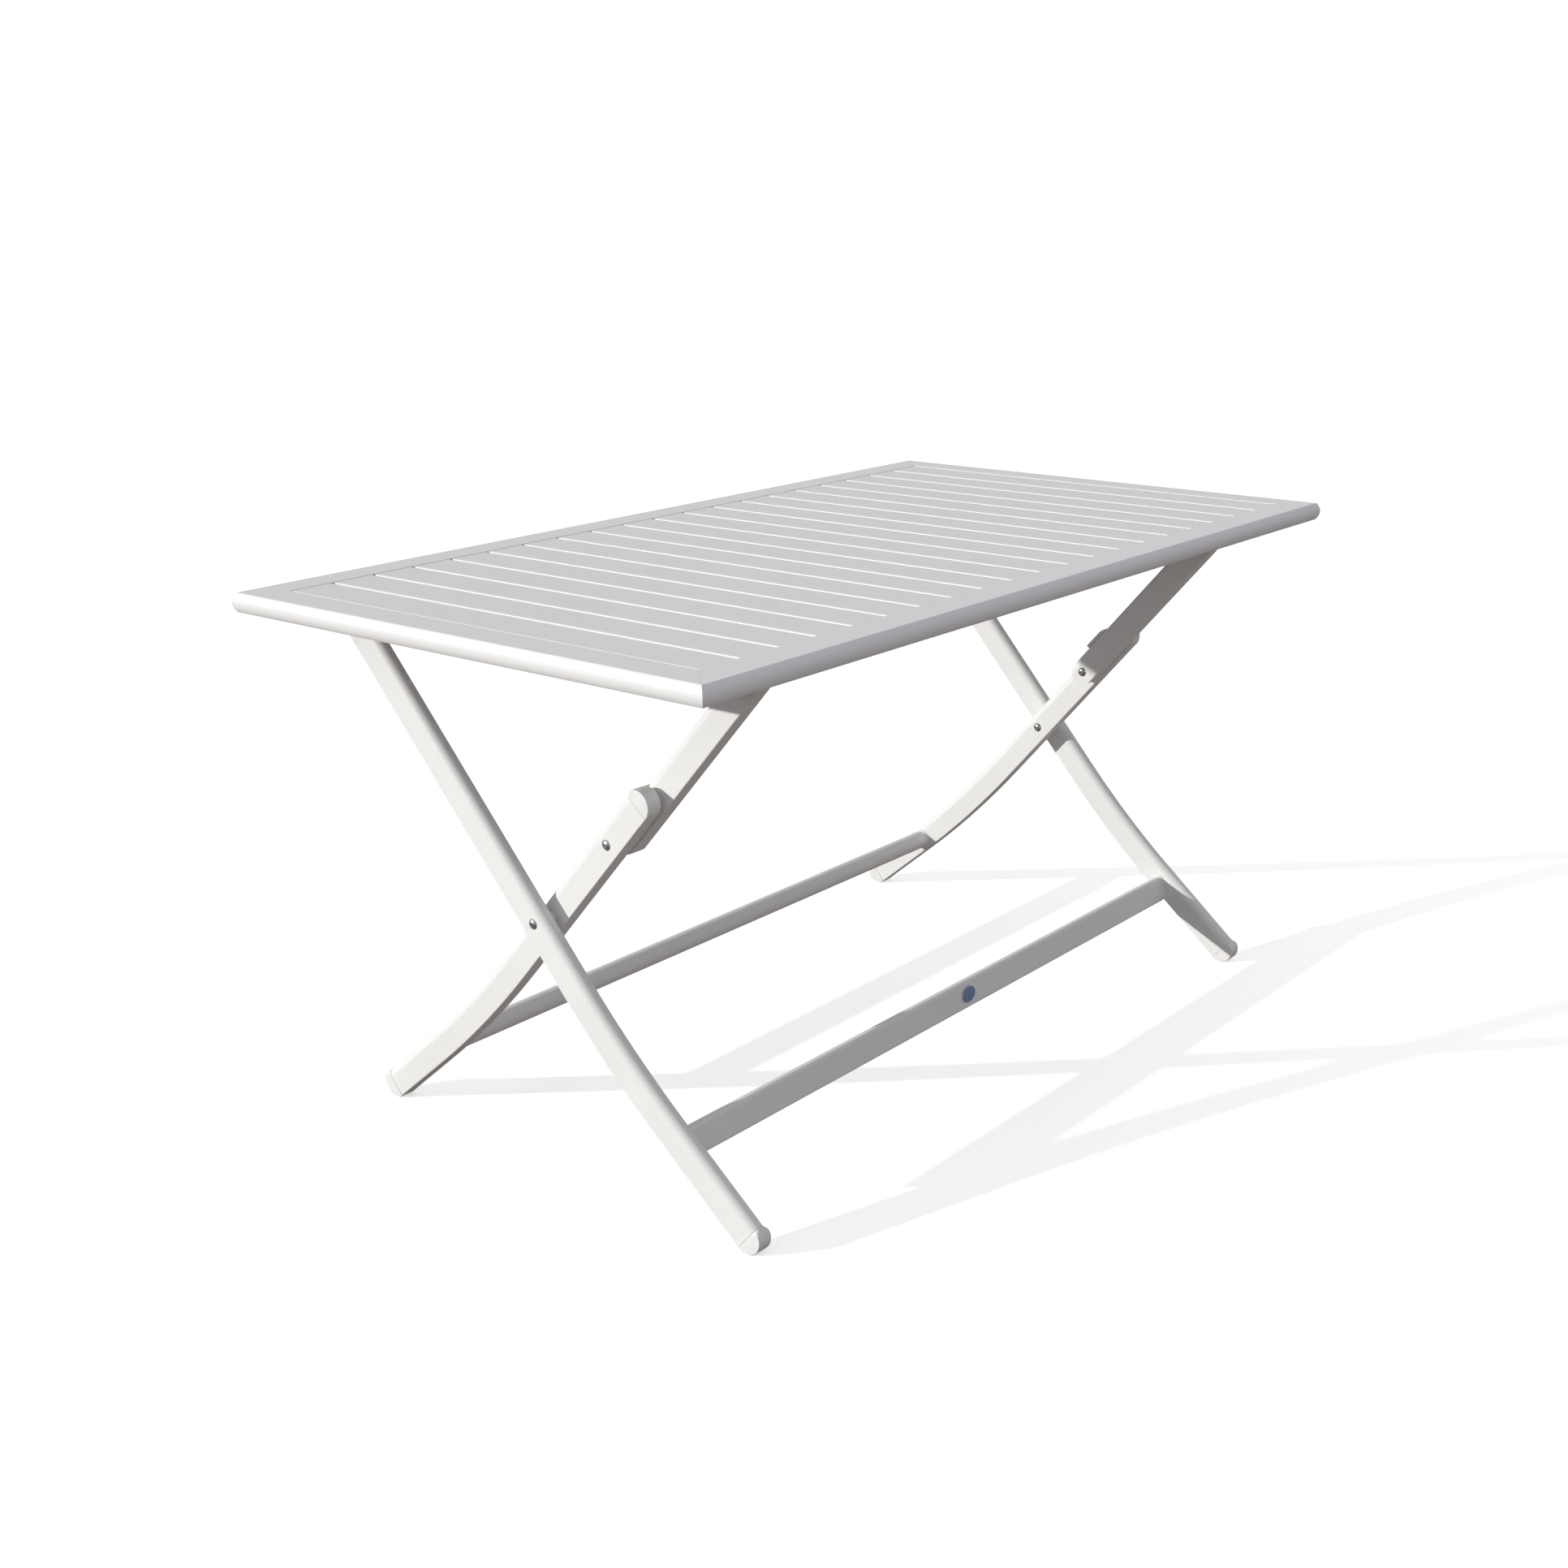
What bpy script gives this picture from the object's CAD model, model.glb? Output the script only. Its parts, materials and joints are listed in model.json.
import json
import math

import bmesh
import bpy
from mathutils import Matrix, Vector


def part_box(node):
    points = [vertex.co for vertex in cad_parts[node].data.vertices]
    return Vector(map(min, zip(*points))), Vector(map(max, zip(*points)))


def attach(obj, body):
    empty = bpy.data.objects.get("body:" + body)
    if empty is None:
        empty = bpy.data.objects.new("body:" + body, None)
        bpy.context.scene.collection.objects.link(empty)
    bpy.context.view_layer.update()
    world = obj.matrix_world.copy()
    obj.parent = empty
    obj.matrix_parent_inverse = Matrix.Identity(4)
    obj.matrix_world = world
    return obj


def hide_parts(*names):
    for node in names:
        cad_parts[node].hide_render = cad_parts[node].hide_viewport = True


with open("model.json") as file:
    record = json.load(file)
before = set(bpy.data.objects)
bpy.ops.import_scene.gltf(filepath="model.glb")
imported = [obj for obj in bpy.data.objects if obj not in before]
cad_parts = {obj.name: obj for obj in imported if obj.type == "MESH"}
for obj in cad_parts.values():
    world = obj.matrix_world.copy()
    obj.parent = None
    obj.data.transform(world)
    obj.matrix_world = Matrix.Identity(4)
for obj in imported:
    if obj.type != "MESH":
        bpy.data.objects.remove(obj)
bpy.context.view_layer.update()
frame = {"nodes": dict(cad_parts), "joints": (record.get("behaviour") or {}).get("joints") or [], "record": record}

MM = 0.001
LEFT, RIGHT = -1, 1
SIDES = (("left", LEFT), ("right", RIGHT))

# Legs, as in the CAD model
LEG_W = 40 * MM                  # width of a tube, in the plane of the linkage
LEG_T = 22 * MM                  # its thickness, along the table
CROSS_L = 450 * MM               # from a hinge to the crossing pivot
HINGE_HALF = 298 * MM            # half the distance between front and rear hinges
HALF_BEND = math.asin(0.07584)   # half the angle that a leg bends through
LEAN = math.acos(HINGE_HALF / CROSS_L)    # of a leg from horizontal, above its bend
LOW_LEAN = LEAN - 2 * HALF_BEND           # and below it
INNER_X = 545 * MM               # from the table's middle to the middle of an inner leg
OUTER_FACE_X = 565 * MM          # to the inner face of an outer leg
INNER_FACE_X = 534 * MM          # to the inner face of an inner leg
FOOT_Z = 19.4 * MM               # from the floor to the middle of a foot's round end

# Flat stretcher's section and its lean from upright, and the height of the badge on it
BAR_W, BAR_H, BAR_R = 13 * MM, 40 * MM, 4 * MM
BAR_LEAN = math.radians(8.7)
BADGE_H = 24 * MM

ELBOW = Vector(next(j["pos_m"] for j in frame["joints"] if j["name"] == "elbow_fold"))


# ---------------------------------------------------------------- node helpers

def new_material(name):
    """A material with its nodes, its links and its shader."""
    mat = bpy.data.materials.new(name)
    mat.use_nodes = True
    nodes = mat.node_tree.nodes
    return mat, nodes, mat.node_tree.links, nodes["Principled BSDF"]


def noise(nodes, links, coords, scale, detail=3.0, rough=0.55, stretch=None):
    """Noise over object coordinates. scale is about the number of its features in a metre, and
    stretch multiplies the coordinates along each axis."""
    tex = nodes.new("ShaderNodeTexNoise")
    tex.inputs["Scale"].default_value = scale
    tex.inputs["Detail"].default_value = detail
    tex.inputs["Roughness"].default_value = rough
    source = coords.outputs["Object"]
    if stretch:
        mapping = nodes.new("ShaderNodeMapping")
        mapping.inputs["Scale"].default_value = stretch
        links.new(source, mapping.inputs["Vector"])
        source = mapping.outputs["Vector"]
    links.new(source, tex.inputs["Vector"])
    return tex.outputs["Fac"]


def ramp(nodes, links, fac, stops):
    """Colour ramp over (position, colour) pairs."""
    node = nodes.new("ShaderNodeValToRGB")
    elements = node.color_ramp.elements
    while len(elements) < len(stops):
        elements.new(0.5)
    for element, (at, colour) in zip(elements, stops):
        element.position = at
        element.color = (*colour, 1.0)
    links.new(fac, node.inputs["Fac"])
    return node.outputs["Color"]


def remap(nodes, links, fac, low, high, out_low, out_high):
    """A value that runs from out_low to out_high while fac runs from low to high."""
    node = nodes.new("ShaderNodeMapRange")
    for name, value in (("From Min", low), ("From Max", high), ("To Min", out_low), ("To Max", out_high)):
        node.inputs[name].default_value = value
    links.new(fac, node.inputs["Value"])
    return node.outputs["Result"]


def bump(nodes, links, shader, height, distance, strength=1.0, under=None):
    """Bump of the shader's surface, distance in metres, on top of the normal called under."""
    node = nodes.new("ShaderNodeBump")
    node.inputs["Distance"].default_value = distance
    node.inputs["Strength"].default_value = strength
    links.new(height, node.inputs["Height"])
    if under is not None:
        links.new(under, node.inputs["Normal"])
    links.new(node.outputs["Normal"], shader.inputs["Normal"])
    return node.outputs["Normal"]


def shade(colour, factor):
    """A colour made darker or lighter."""
    return tuple(c * factor for c in colour)


def blend(nodes, links, factor, base, colour):
    """Mix of the base with one fixed colour."""
    mix = nodes.new("ShaderNodeMix")
    mix.data_type = "RGBA"
    mix.inputs["B"].default_value = (*colour, 1.0)
    links.new(factor, mix.inputs["Factor"])
    links.new(base, mix.inputs["A"])
    return mix.outputs["Result"]


def edge_wear(nodes, links, base, colour, amount):
    """Outer edges rubbed towards a lighter colour."""
    geometry = nodes.new("ShaderNodeNewGeometry")
    edge = remap(nodes, links, geometry.outputs["Pointiness"], 0.52, 0.62, 0.0, amount)
    return blend(nodes, links, edge, base, colour)


# ---------------------------------------------------------------- materials

PAINT_SPECULAR = 0.4


def powder_coat(name, colour, rough=0.42):
    """Baked powder paint: faint clouding, fine grain, orange peel, edges rubbed a little lighter."""
    mat, nodes, links, shader = new_material(name)
    coords = nodes.new("ShaderNodeTexCoord")
    cloud = noise(nodes, links, coords, scale=9, detail=3)
    base = ramp(nodes, links, cloud, [(0.3, shade(colour, 0.975)), (0.7, shade(colour, 1.015))])
    fine = noise(nodes, links, coords, scale=330, detail=3, rough=0.7)
    speck = remap(nodes, links, fine, 0.35, 0.65, 0.0, 1.0)
    grain = blend(nodes, links, speck, base, shade(colour, 0.93))
    worn = edge_wear(nodes, links, grain, shade(colour, 1.06), amount=0.35)
    links.new(worn, shader.inputs["Base Color"])
    patches = noise(nodes, links, coords, scale=60, detail=2)
    gloss = remap(nodes, links, patches, 0.3, 0.7, rough - 0.05, rough + 0.06)
    links.new(gloss, shader.inputs["Roughness"])
    orange_peel = noise(nodes, links, coords, scale=520, detail=2)
    dust = noise(nodes, links, coords, scale=2600, detail=1)
    peel = bump(nodes, links, shader, orange_peel, 0.04 * MM, 0.5)
    bump(nodes, links, shader, dust, 0.01 * MM, 0.4, under=peel)
    shader.inputs["Specular IOR Level"].default_value = PAINT_SPECULAR
    return mat


def moulded_plastic(name, colour, rough=0.5):
    """Spark-eroded mould grain with faint flow clouding."""
    mat, nodes, links, shader = new_material(name)
    coords = nodes.new("ShaderNodeTexCoord")
    cloud = noise(nodes, links, coords, scale=40, detail=2)
    base = ramp(nodes, links, cloud, [(0.35, shade(colour, 0.96)), (0.65, shade(colour, 1.02))])
    worn = edge_wear(nodes, links, base, shade(colour, 1.1), amount=0.3)
    links.new(worn, shader.inputs["Base Color"])
    patches = noise(nodes, links, coords, scale=300, detail=2)
    gloss = remap(nodes, links, patches, 0.3, 0.7, rough - 0.06, rough + 0.08)
    links.new(gloss, shader.inputs["Roughness"])
    mould_grain = noise(nodes, links, coords, scale=1800, detail=3, rough=0.7)
    bump(nodes, links, shader, mould_grain, 0.03 * MM, 0.5)
    shader.inputs["Specular IOR Level"].default_value = PAINT_SPECULAR
    return mat


def drawn_metal(name, colour, rough, grain, depth=0.01 * MM):
    """Bare metal; grain stretches the drawing lines along one axis, depth is theirs."""
    mat, nodes, links, shader = new_material(name)
    coords = nodes.new("ShaderNodeTexCoord")
    lines = noise(nodes, links, coords, scale=900, detail=3, rough=0.6, stretch=grain)
    base = ramp(nodes, links, lines, [(0.3, shade(colour, 0.85)), (0.7, shade(colour, 1.08))])
    links.new(base, shader.inputs["Base Color"])
    gloss = remap(nodes, links, lines, 0.3, 0.7, rough - 0.07, rough + 0.08)
    links.new(gloss, shader.inputs["Roughness"])
    bump(nodes, links, shader, lines, depth, 0.6)
    shader.inputs["Metallic"].default_value = 1.0
    return mat


def zinc_plate(name):
    """Zinc-plated steel with a mottled, slightly yellow passivation."""
    mat, nodes, links, shader = new_material(name)
    coords = nodes.new("ShaderNodeTexCoord")
    patches = noise(nodes, links, coords, scale=140, detail=4, rough=0.65)
    blue_grey, grey, yellowish = (0.46, 0.47, 0.50), (0.60, 0.61, 0.62), (0.70, 0.69, 0.62)
    base = ramp(nodes, links, patches, [(0.3, blue_grey), (0.55, grey), (0.75, yellowish)])
    links.new(base, shader.inputs["Base Color"])
    gloss = remap(nodes, links, patches, 0.3, 0.7, 0.28, 0.46)
    links.new(gloss, shader.inputs["Roughness"])
    pits = noise(nodes, links, coords, scale=700, detail=3)
    bump(nodes, links, shader, pits, 0.02 * MM, 0.5)
    shader.inputs["Metallic"].default_value = 1.0
    return mat


def badge_enamel(name):
    """Blue enamel with a fine metallic fleck under a clear coat."""
    mat, nodes, links, shader = new_material(name)
    coords = nodes.new("ShaderNodeTexCoord")
    fleck = noise(nodes, links, coords, scale=1500, detail=2, rough=0.7)
    dark_blue, light_blue = (0.13, 0.22, 0.40), (0.20, 0.30, 0.48)
    base = ramp(nodes, links, fleck, [(0.35, dark_blue), (0.7, light_blue)])
    links.new(base, shader.inputs["Base Color"])
    gloss = remap(nodes, links, fleck, 0.3, 0.7, 0.25, 0.35)
    links.new(gloss, shader.inputs["Roughness"])
    shader.inputs["Coat Weight"].default_value = 0.6
    shader.inputs["Coat Roughness"].default_value = 0.08
    return mat


ALONG_Y, ALONG_Z, NO_GRAIN = (1, 0.02, 1), (1, 1, 0.1), (1, 1, 1)
MATERIALS = {
    "rail_paint": powder_coat("rail_paint", (0.80, 0.80, 0.80)),
    "slat_paint": powder_coat("slat_paint", (0.79, 0.79, 0.79), 0.46),
    "leg_paint": powder_coat("leg_paint", (0.81, 0.81, 0.80)),
    "cap_plastic": moulded_plastic("cap_plastic", (0.805, 0.805, 0.795)),
    "white_nylon": moulded_plastic("white_nylon", (0.78, 0.78, 0.75), 0.42),
    "black_nylon": moulded_plastic("black_nylon", (0.03, 0.03, 0.03)),
    "channel_aluminium": drawn_metal("channel_aluminium", (0.74, 0.75, 0.76), 0.38, ALONG_Y),
    "rivet_aluminium": drawn_metal("rivet_aluminium", (0.72, 0.73, 0.75), 0.32, ALONG_Z),
    "zinc_steel": zinc_plate("zinc_steel"),
    "stainless": drawn_metal("stainless", (0.55, 0.56, 0.58), 0.22, NO_GRAIN, 0.004 * MM),
    "badge_enamel": badge_enamel("badge_enamel"),
}


def paint_nodes():
    """Gives every CAD node the material of its slot in the record."""
    slots = {s["node"]: s["material_slot"] for s in frame["record"]["subparts"]}
    for name, obj in frame["nodes"].items():
        obj.data.materials.clear()
        obj.data.materials.append(MATERIALS[slots[name]])


# ---------------------------------------------------------------- frames of the legs

def leg_axes(lean, forward):
    """Directions down a leg and out of its nose; the leg leans by lean from horizontal.
    forward is -1 for a leg that runs down to the front and 1 for one that runs down to the rear."""
    down = Vector((0, forward * math.cos(lean), -math.sin(lean)))
    nose = Vector((0, forward * math.sin(lean), math.cos(lean)))
    return down, nose


def placed(origin, down, nose, side, x):
    """Matrix from (u outward, v nose, s down the leg) to the table's frame.
    It starts at the origin's y and z, a distance of x from the middle on one side."""
    out = Vector((side, 0, 0))
    place = Matrix.Translation(Vector((side * x, origin.y, origin.z)))
    turn = Matrix((out, nose, down)).transposed().to_4x4()
    return place @ turn


def make_object(name, bm, material, smooth_deg=35):
    """Turns a bmesh into an object with one material and one record slot."""
    bmesh.ops.remove_doubles(bm, verts=bm.verts, dist=1e-6)
    bmesh.ops.recalc_face_normals(bm, faces=bm.faces)
    mesh = bpy.data.meshes.new(name)
    bm.to_mesh(mesh)
    bm.free()
    mesh.materials.append(material)
    for poly in mesh.polygons:
        poly.use_smooth = True
    mesh.set_sharp_from_angle(angle=math.radians(smooth_deg))
    obj = bpy.data.objects.new(name, mesh)
    bpy.context.scene.collection.objects.link(obj)
    return obj


# ---------------------------------------------------------------- foot and end caps

def end_profile(corner, arc=8):
    """Half section (u, radius) of a leg's end, from one side over the rounded edges to the other."""
    half, r = LEG_T / 2, LEG_W / 2
    points = [(-half, 0.0)]
    for k in range(arc + 1):
        a = math.pi / 2 * k / arc
        points.append((-half + corner * (1 - math.cos(a)), r - corner * (1 - math.sin(a))))
    for k in range(arc + 1):
        a = math.pi / 2 * (1 - k / arc)
        points.append((half - corner * (1 - math.cos(a)), r - corner * (1 - math.sin(a))))
    points.append((half, 0.0))
    return points


def corner_at(turn):
    """Edge radius of a cap: the tube's round nose at turn 0 dies away fast to a moulded edge."""
    nose, edge, fade = LEG_T / 2 - 0.01 * MM, 1.2 * MM, math.radians(34)
    left = 1 - min(turn / fade, 1.0)
    return edge + (nose - edge) * left * left


def round_cap(bm, length, grow=0.25 * MM, rings=36):
    """Cap around (0, 0, 0) whose round end faces +s. Behind a fine groove its straight part is flush
    with the tube up to s = -length, and its plug goes on inside."""
    scale = (LEG_W / 2 + grow) / (LEG_W / 2)
    strips = []
    for k in range(rings + 1):
        turn = math.pi * k / rings
        strip = [bm.verts.new((u * scale, r * scale * math.cos(turn), r * scale * math.sin(turn)))
                 for u, r in end_profile(corner_at(turn))]
        strips.append(strip)
    for a, b in zip(strips, strips[1:]):
        for i in range(len(a) - 1):
            bm.faces.new((a[i], a[i + 1], b[i + 1], b[i]))
    rim = strips[0][1:-1] + list(reversed(strips[-1][1:-1]))
    loops = [rim]
    plug_end = -length - 6 * MM
    groove, deep, plug = -0.8 * MM, 1.2 * MM, 2.0 * MM
    for s, inset in ((0.0, deep), (groove, deep), (groove, grow), (-length, grow),
                     (-length, plug), (plug_end, plug)):
        ku, kv = 1 - inset / (LEG_T / 2), 1 - inset / (LEG_W / 2)
        loops.append([bm.verts.new((v.co.x * ku, v.co.y * kv, s)) for v in rim])
    for a, b in zip(loops, loops[1:]):
        for i in range(len(a)):
            j = (i + 1) % len(a)
            bm.faces.new((a[i], b[i], b[j], a[j]))
    bm.faces.new(loops[-1])


def foot_middle(node, forward):
    """Middle of a foot's round end; forward is -1 for a foot in front and 1 for one at the rear."""
    low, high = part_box(node)
    y = low.y + LEG_W / 2 if forward < 0 else high.y - LEG_W / 2
    return Vector(((low.x + high.x) / 2, y, FOOT_Z))


def foot_caps():
    """Foot caps, each worn flat where it meets the floor."""
    straight = 6 * MM
    feet = (("outer", -1, "outer_leg_frame"), ("inner", 1, "inner_leg_frame"))
    for kind, forward, body in feet:
        down, nose = leg_axes(LOW_LEAN, forward)
        for word, side in SIDES:
            node = f"{kind}_foot_{word}"
            origin = foot_middle(node, forward)
            bm = bmesh.new()
            round_cap(bm, straight)
            place = placed(origin, down, nose, side, abs(origin.x))
            bmesh.ops.transform(bm, matrix=place, verts=bm.verts)
            for v in bm.verts:
                v.co.z = max(v.co.z, 0.0)
            cap = make_object(f"{kind}_foot_cap_{word}", bm, MATERIALS["cap_plastic"])
            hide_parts(node)
            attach(cap, body)


def stop_tab(bm, side_u, inner_u):
    """Tab that lies over the brace's nose, with an arm down the inner leg's side.
    u is measured from the inner leg's middle, towards the table's end."""
    seat, thick, r = 20.4 * MM, 5.6 * MM, 23.4 * MM
    start, flat, stop = -31.5 * MM, -62.8 * MM, -78 * MM
    arm_foot, arm_thick, sunk = -6 * MM, 6 * MM, 0.5 * MM
    top = seat + thick
    outline = [(start, seat), (start, top), (flat, top)]
    steps = 8
    last = math.asin((flat - stop) / r)
    for k in range(1, steps + 1):
        a = last * k / steps
        outline.append((flat - r * math.sin(a), top - r * (1 - math.cos(a))))
    plate = [(s, max(v, seat)) for s, v in outline]
    arm = [(start, arm_foot)] + outline[1:] + [(stop, arm_foot)]
    for points, u0, u1 in ((plate, inner_u, side_u), (arm, side_u - arm_thick, side_u + sunk)):
        low = [bm.verts.new((u0, v, s)) for s, v in points]
        high = [bm.verts.new((u1, v, s)) for s, v in points]
        bm.faces.new(low)
        bm.faces.new(list(reversed(high)))
        for i in range(len(points)):
            j = (i + 1) % len(points)
            bm.faces.new((low[i], high[i], high[j], low[j]))


def stop_caps():
    """Round upper ends of the inner legs, and the tabs that stop the braces."""
    straight, past_elbow, tab_u = 12 * MM, 77 * MM, -33 * MM
    down, nose = leg_axes(LEAN, 1)
    for word, side in SIDES:
        bm = bmesh.new()
        round_cap(bm, straight)
        flip = Matrix.Diagonal((1, 1, -1, 1))
        place = placed(ELBOW - down * past_elbow, down, nose, side, INNER_X)
        bmesh.ops.transform(bm, matrix=place @ flip, verts=bm.verts)
        cap = make_object(f"stop_cap_body_{word}", bm, MATERIALS["cap_plastic"])
        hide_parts(f"stop_cap_{word}")
        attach(cap, "inner_leg_frame")

        bm = bmesh.new()
        stop_tab(bm, -LEG_T / 2, tab_u)
        place = placed(ELBOW, down, nose, side, INNER_X)
        bmesh.ops.transform(bm, matrix=place, verts=bm.verts)
        tab = make_object(f"stop_tab_{word}", bm, MATERIALS["cap_plastic"])
        soften = tab.modifiers.new("edges", "BEVEL")
        soften.width = 0.6 * MM
        soften.segments = 2
        soften.limit_method = "ANGLE"
        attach(tab, "inner_leg_frame")


# ---------------------------------------------------------------- welds and badge

def weld_bead(name, outline, side, face_x, size, body, keep=None):
    """Slightly convex bead in the corner between a stretcher and a leg's face, which lies face_x
    from the table's middle. outline: (point, outward normal) pairs round the stretcher, in the YZ
    plane. With keep, the bead is laid only where keep(point) is true."""
    inward = Vector((-side, 0, 0))
    arc, sunk, flatten = 5, 0.4 * MM, 0.22
    fine, coarse = 1.1 * MM, 3.7 * MM        # run of one radian of each ripple
    bm = bmesh.new()
    rings, run = [], 0.0
    for k, (point, normal) in enumerate(outline):
        if k:
            run += (point - outline[k - 1][0]).length
        if keep is not None and not keep(point):
            continue
        swell = size * (1 + 0.10 * math.sin(run / fine) + 0.05 * math.sin(run / coarse))
        base = Vector((side * face_x, point.y, point.z))
        ring = [bm.verts.new(base - normal * sunk - inward * sunk)]
        for i in range(arc + 1):
            a = math.pi / 2 * i / arc
            reach = swell * (1 - flatten * math.sin(2 * a))
            ring.append(bm.verts.new(base + normal * reach * math.cos(a) + inward * reach * math.sin(a)))
        rings.append(ring)
    closed = keep is None
    pairs = list(zip(rings, rings[1:]))
    if closed:
        pairs.append((rings[-1], rings[0]))
    for a, b in pairs:
        for i in range(len(a)):
            j = (i + 1) % len(a)
            bm.faces.new((a[i], a[j], b[j], b[i]))
    if not closed:
        bm.faces.new(rings[0])
        bm.faces.new(list(reversed(rings[-1])))
    bead = make_object(name, bm, MATERIALS["leg_paint"], 60)
    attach(bead, body)


def rounded_outline(centre, tilt, width, height, r, step=1.2 * MM):
    """Points and normals round a rounded rectangle in the YZ plane, its height tilted back by tilt."""
    up = Vector((0, math.sin(tilt), math.cos(tilt)))
    across = Vector((0, math.cos(tilt), -math.sin(tilt)))
    out = []
    arc = 6
    corners = ((-1, -1, 180), (-1, 1, 90), (1, 1, 0), (1, -1, -90))
    for k, (sy, sz, start) in enumerate(corners):
        mid = centre + across * sy * (width / 2 - r) + up * sz * (height / 2 - r)
        for i in range(arc + 1):
            a = math.radians((start + 90) - 90 * i / arc)
            normal = across * math.cos(a) + up * math.sin(a)
            out.append((mid + normal * r, normal))
        ny, nz, _ = corners[(k + 1) % 4]
        nxt = centre + across * ny * (width / 2 - r) + up * nz * (height / 2 - r)
        a = math.radians(start)
        normal = across * math.cos(a) + up * math.sin(a)
        span = nxt - mid
        count = max(2, int(span.length / step))
        for i in range(1, count):
            out.append((mid + normal * r + span * i / count, normal))
    return out


def middle(node):
    """Middle of a CAD node's box."""
    low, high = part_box(node)
    return (low + high) / 2


def tube_outline(count=72):
    """Points and normals round the round stretcher, in the YZ plane."""
    low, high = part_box("round_stretcher")
    tube = middle("round_stretcher")
    radius = (high.z - low.z) / 2
    out = []
    for k in range(count):
        a = 2 * math.pi * k / count
        normal = Vector((0, math.cos(a), math.sin(a)))
        out.append((Vector((0, tube.y, tube.z)) + normal * radius, normal))
    return out


def welds():
    """Beads round the ends of both stretchers; the flat one's lower corner hangs free of the leg."""
    bar_bead, tube_bead, free = 3.2 * MM, 3.0 * MM, 2 * MM
    bar = middle("flat_stretcher")
    foot = foot_middle("outer_foot_left", -1)
    _, nose = leg_axes(LOW_LEAN, -1)

    def on_leg(point):
        across = nose.dot(Vector((0, point.y - foot.y, point.z - foot.z)))
        return across > -LEG_W / 2 + free

    bar_outline = rounded_outline(Vector((0, bar.y, bar.z)), BAR_LEAN, BAR_W, BAR_H, BAR_R)
    start = next(k for k in range(len(bar_outline))
                 if on_leg(bar_outline[k][0]) and not on_leg(bar_outline[k - 1][0]))
    bar_outline = bar_outline[start:] + bar_outline[:start]
    tube_ring = tube_outline()
    for word, side in SIDES:
        weld_bead(f"bar_weld_{word}", bar_outline, side, OUTER_FACE_X, bar_bead, "outer_leg_frame", on_leg)
        weld_bead(f"tube_weld_{word}", tube_ring, side, INNER_FACE_X, tube_bead, "inner_leg_frame")


def blank_badge():
    """Oval plate with a bright rim and a slightly domed blue face, no mark on it."""
    low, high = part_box("badge")
    bar = middle("flat_stretcher")
    half_x, half_z = (high.x - low.x) / 2, BADGE_H / 2
    up = Vector((0, math.sin(BAR_LEAN), math.cos(BAR_LEAN)))
    front = Vector((0, -math.cos(BAR_LEAN), math.sin(BAR_LEAN)))
    centre = Vector(((low.x + high.x) / 2, bar.y, bar.z)) + front * BAR_W / 2
    count = 64

    def ring(bm, inwards, lift):
        loop = []
        for k in range(count):
            a = 2 * math.pi * k / count
            x, z = (half_x - inwards) * math.cos(a), (half_z - inwards) * math.sin(a)
            loop.append(bm.verts.new(centre + Vector((x, 0, 0)) + up * z + front * lift))
        return loop

    def skin(bm, rings):
        for a, b in zip(rings, rings[1:]):
            for i in range(count):
                j = (i + 1) % count
                bm.faces.new((a[i], a[j], b[j], b[i]))

    # Both sections are (inwards from the edge, height over the stretcher) in millimetres
    rim = [(0, -0.2), (0, 0.9), (0.15, 1.35), (0.5, 1.6), (0.9, 1.6), (1.2, 1.4), (1.25, 0.9), (1.25, -0.2)]
    bm = bmesh.new()
    rings = [ring(bm, s * MM, h * MM) for s, h in rim]
    skin(bm, rings + [rings[0]])
    piece = make_object("badge_rim", bm, MATERIALS["stainless"])
    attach(piece, "outer_leg_frame")

    face = [(1.2, -0.1), (1.2, 1.0), (1.6, 1.15), (3.2, 1.3), (6.0, 1.45), (9.0, 1.5)]
    bm = bmesh.new()
    rings = [ring(bm, s * MM, h * MM) for s, h in face]
    skin(bm, rings)
    bm.faces.new(rings[-1])
    bm.faces.new(list(reversed(rings[0])))
    piece = make_object("badge_face", bm, MATERIALS["badge_enamel"])
    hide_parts("badge")
    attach(piece, "outer_leg_frame")


# ---------------------------------------------------------------- stage, light, camera

def stage_material(name, colour, emission=0.0):
    """Matt surface that may also glow white."""
    mat, _, _, shader = new_material(name)
    shader.inputs["Base Color"].default_value = (*colour, 1)
    shader.inputs["Roughness"].default_value = 0.9
    shader.inputs["Specular IOR Level"].default_value = 0.0
    shader.inputs["Emission Color"].default_value = (1, 1, 1, 1)
    shader.inputs["Emission Strength"].default_value = emission
    return mat


def stage_object(name, bm, material):
    """Turns a bmesh into a piece of the stage; it casts no shadow."""
    mesh = bpy.data.meshes.new(name)
    bm.to_mesh(mesh)
    bm.free()
    mesh.materials.append(material)
    obj = bpy.data.objects.new(name, mesh)
    bpy.context.scene.collection.objects.link(obj)
    obj.visible_shadow = False
    return obj


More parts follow.
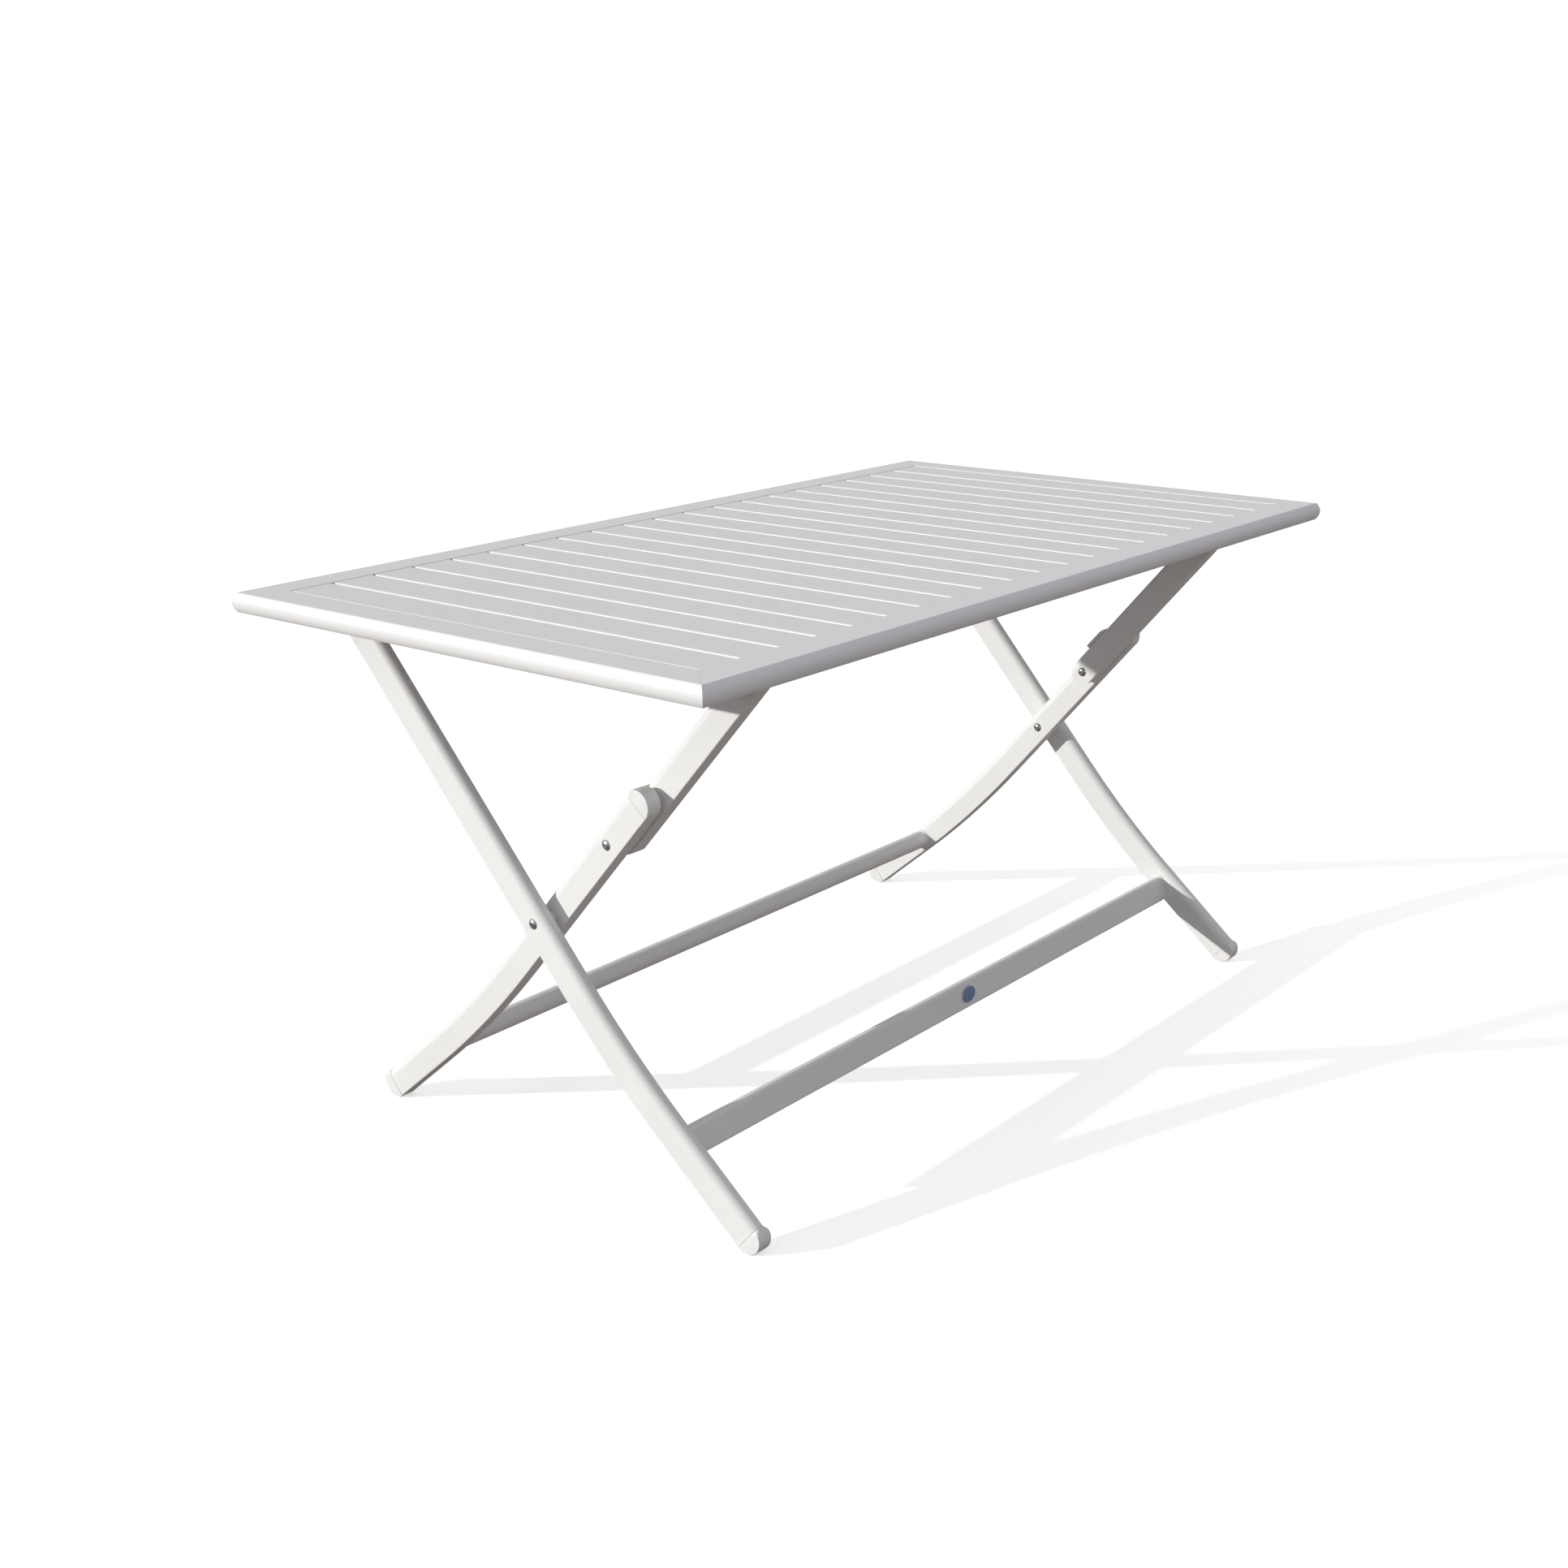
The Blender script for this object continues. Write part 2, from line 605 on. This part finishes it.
def studio_floor():
    """A white round floor with a rim, seen by the camera only, that takes the shadows. Just under
    it lies a darker ground that the camera doesn't see and that gives the bounced light."""
    flat_r, rise_r, wall_h, count, steps = 14.0, 3.0, 14.0, 96, 10
    profile = [(flat_r, 0.0)]
    for k in range(1, steps + 1):
        a = math.pi / 2 * k / steps
        profile.append((flat_r + rise_r * math.sin(a), rise_r * (1 - math.cos(a))))
    profile.append((flat_r + rise_r, wall_h))

    def loop(bm, r, z):
        angles = [2 * math.pi * k / count for k in range(count)]
        return [bm.verts.new((r * math.cos(a), r * math.sin(a), z)) for a in angles]

    bm = bmesh.new()
    bm.faces.new(loop(bm, flat_r, 0.0))
    floor = stage_object("floor", bm, stage_material("floor_white", (0.8, 0.8, 0.8), 0.56))
    bm = bmesh.new()
    rings = [loop(bm, r, z) for r, z in profile]
    for a, b in zip(rings, rings[1:]):
        for i in range(count):
            j = (i + 1) % count
            bm.faces.new((a[i], b[i], b[j], a[j]))
    rim = stage_object("rim", bm, stage_material("rim_white", (0, 0, 0), 1.1))
    for obj in (floor, rim):
        obj.visible_diffuse = False
        obj.visible_glossy = False
    bm = bmesh.new()
    bm.faces.new(loop(bm, flat_r, -1 * MM))
    ground = stage_object("ground", bm, stage_material("ground_tan", (0.275, 0.24, 0.21)))
    ground.visible_camera = False


def daylight():
    """Low sun from the rear left, under a dome that is cool above and dim warm below."""
    sun = bpy.data.lights.new("sun", "SUN")
    sun.energy = 3.0
    sun.color = (1.0, 0.993, 0.95)
    sun.angle = math.radians(0.9)
    lamp = bpy.data.objects.new("sun", sun)
    travel = Vector((2.85, -2.07, -1.0)).normalized()
    lamp.rotation_mode = "QUATERNION"
    lamp.rotation_quaternion = travel.to_track_quat("-Z", "Y")
    lamp.location = -5 * travel
    bpy.context.scene.collection.objects.link(lamp)

    world = bpy.data.worlds.new("dome")
    world.use_nodes = True
    bpy.context.scene.world = world
    nodes, links = world.node_tree.nodes, world.node_tree.links
    coords = nodes.new("ShaderNodeTexCoord")
    split = nodes.new("ShaderNodeSeparateXYZ")
    links.new(coords.outputs["Generated"], split.inputs["Vector"])
    height = remap(nodes, links, split.outputs["Z"], -1.0, 1.0, 0.0, 1.0)
    below, horizon = (0.24, 0.205, 0.18), (0.64, 0.645, 0.76)
    sky, zenith = (0.545, 0.55, 0.585), (0.475, 0.48, 0.48)
    colour = ramp(nodes, links, height, [(0.46, below), (0.5, horizon), (0.675, sky), (1.0, zenith)])
    links.new(colour, nodes["Background"].inputs["Color"])


def camera():
    """Camera at the photograph's viewing angle: level but for a third of a degree, its picture
    shifted a little off the optical axis."""
    stand = Vector((-2.1917, -1.7544, 1.2346))
    data = bpy.data.cameras.new("camera")
    data.sensor_width = 36
    data.lens = 47.23
    data.shift_x, data.shift_y = -0.0475, 0.0226
    azimuth, dip, roll = math.radians(37.997), math.radians(18.046), math.radians(0.335)
    ahead = Vector((math.cos(azimuth) * math.cos(dip), math.sin(azimuth) * math.cos(dip), -math.sin(dip)))
    level = Vector((ahead.y, -ahead.x, 0)).normalized()
    up = level.cross(ahead)
    right = level * math.cos(roll) - up * math.sin(roll)
    up = right.cross(ahead)
    obj = bpy.data.objects.new("camera", data)
    turn = Matrix((right, up, -ahead)).transposed().to_4x4()
    obj.matrix_world = Matrix.Translation(stand) @ turn
    bpy.context.scene.collection.objects.link(obj)
    bpy.context.scene.camera = obj


paint_nodes()
foot_caps()
stop_caps()
welds()
blank_badge()
studio_floor()
daylight()
camera()
bpy.context.scene.view_settings.view_transform = "Standard"
